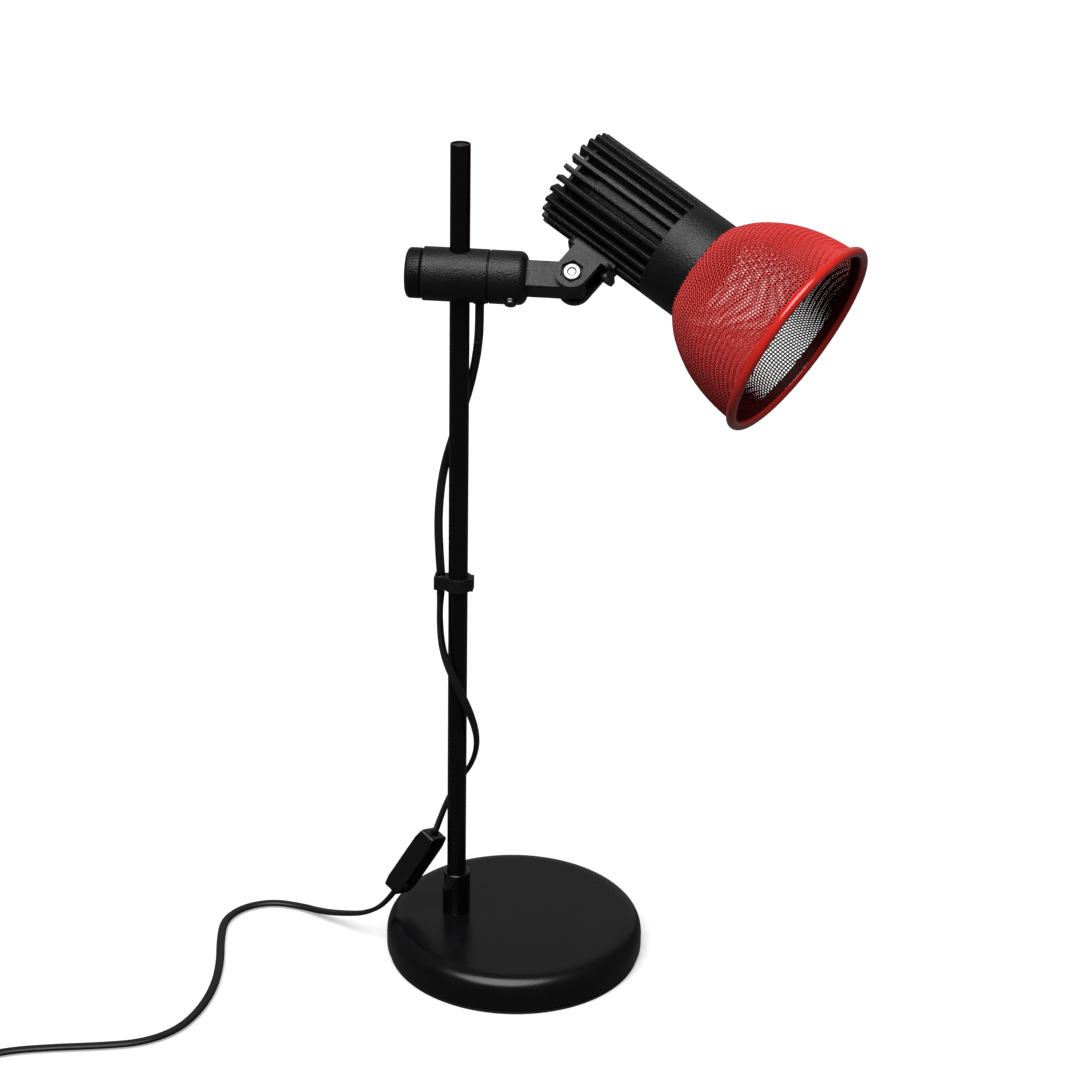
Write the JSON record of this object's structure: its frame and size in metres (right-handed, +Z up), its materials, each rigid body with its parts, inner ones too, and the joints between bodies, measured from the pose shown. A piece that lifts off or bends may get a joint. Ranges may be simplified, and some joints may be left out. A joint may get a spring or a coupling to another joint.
{
  "type": "architect desk lamp",
  "caption": "Desk lamp on a round weighted base: upright pole, sliding clamp with a knob, swivelling arm, tilting finned head with a red woven wire shade, and a corded switch.",
  "frame": {"origin": "middle of the underside of the round base, on the surface that the lamp stands on", "axes": "+Z up along the pole, +X from the pole along the arm at rest, so the head leans over +X and the cord leaves towards -X"},
  "size_m": [0.5883, 0.3982, 0.536],
  "materials": {
    "satin_black_paint": "satin",
    "cast_iron": "as cast",
    "zinc_steel": "bright zinc",
    "foot_rubber": "matt",
    "pole_black": "semi gloss",
    "ferrule_black": "high gloss",
    "black_plastic": "fine texture",
    "aluminium": "plain",
    "brass": "plain",
    "holder_black": "moulded phenolic",
    "red_mesh": "painted woven wire",
    "red_rim": "gloss",
    "cord_black": "smooth",
    "switch_black": "satin",
    "rocker_black": "gloss"
  },
  "bodies": {
    "stand": {"base_shell": "satin_black_paint", "base_weight": "cast_iron", "base_plate": "zinc_steel", "base_screws": "zinc_steel", "base_foot": "foot_rubber", "pole": "pole_black", "pole_stud": "zinc_steel", "pole_washer": "zinc_steel", "pole_nut": "zinc_steel", "pole_sleeve": "ferrule_black", "pole_plug": "black_plastic", "cord_clip": "black_plastic", "switch_cover": "switch_black", "switch_body": "switch_black", "switch_screw": "zinc_steel", "cord_upper": "cord_black", "cord_lower": "cord_black", "cord_tail": "cord_black", "cord_coil": "cord_black", "coil_tie": "black_plastic", "cord_end": "cord_black", "plug_boot": "cord_black", "plug_body": "switch_black", "plug_pins": "zinc_steel"},
    "bushing": {"clamp_bushing": "black_plastic", "cord_top": "cord_black"},
    "clamp": {"clamp_body": "black_plastic", "cord_gland": "cord_black", "swivel_pin": "zinc_steel", "swivel_washer": "black_plastic"},
    "knob": {"clamp_knob": "black_plastic", "knob_spindle": "zinc_steel"},
    "pad": {"clamp_pad": "black_plastic"},
    "arm": {"arm": "black_plastic", "hub_screw": "zinc_steel", "hub_screw_washer": "zinc_steel"},
    "head": {"head_bracket": "black_plastic", "pivot_bolt": "zinc_steel", "pivot_nut": "zinc_steel", "pivot_washers": "zinc_steel", "lamp_housing": "black_plastic", "bracket_screws": "zinc_steel", "inner_can": "aluminium", "lampholder": "holder_black", "holder_thread": "brass", "holder_contact": "brass", "terminal_cap": "holder_black", "shade_collar": "black_plastic", "shade_mesh": "red_mesh", "shade_rim": "red_rim"},
    "rocker": {"switch_rocker": "rocker_black"}
  },
  "joints": [
    {"name": "clamp_slide", "type": "slide", "parent": "stand", "child": "bushing", "axis": [0, 0, 1], "range_m": [-0.12, 0.055], "deforming": ["cord_upper"]},
    {"name": "clamp_swing", "type": "hinge", "parent": "bushing", "child": "clamp", "pos_m": [-0.038, 0, 0.4563], "axis": [0, 0, 1], "range_deg": [-150, 150]},
    {"name": "knob_turn", "type": "hinge", "parent": "clamp", "child": "knob", "pos_m": [-0.038, 0, 0.4563], "axis": [-1, 0, 0], "range_deg": [0, 360]},
    {"name": "pad_travel", "type": "slide", "parent": "clamp", "child": "pad", "axis": [-1, 0, 0], "range_m": [0, 0.0008]},
    {"name": "arm_swivel", "type": "hinge", "parent": "clamp", "child": "arm", "pos_m": [-0.038, 0, 0.4563], "axis": [1, 0, 0], "range_deg": [-120, 120]},
    {"name": "head_tilt", "type": "hinge", "parent": "arm", "child": "head", "pos_m": [0.029, 0, 0.4563], "axis": [0, 0.7431, -0.6691], "range_deg": [-38, 53]},
    {"name": "switch_rock", "type": "hinge", "parent": "stand", "child": "rocker", "pos_m": [-0.06771, 0.00017, 0.06092], "axis": [-0.3704, -0.8575, 0.3571], "range_deg": [0, 9]}
  ],
  "couplings": [
    {"joint": "pad_travel", "follows": "knob_turn", "m_per_rad": 0.00012732}
  ]
}
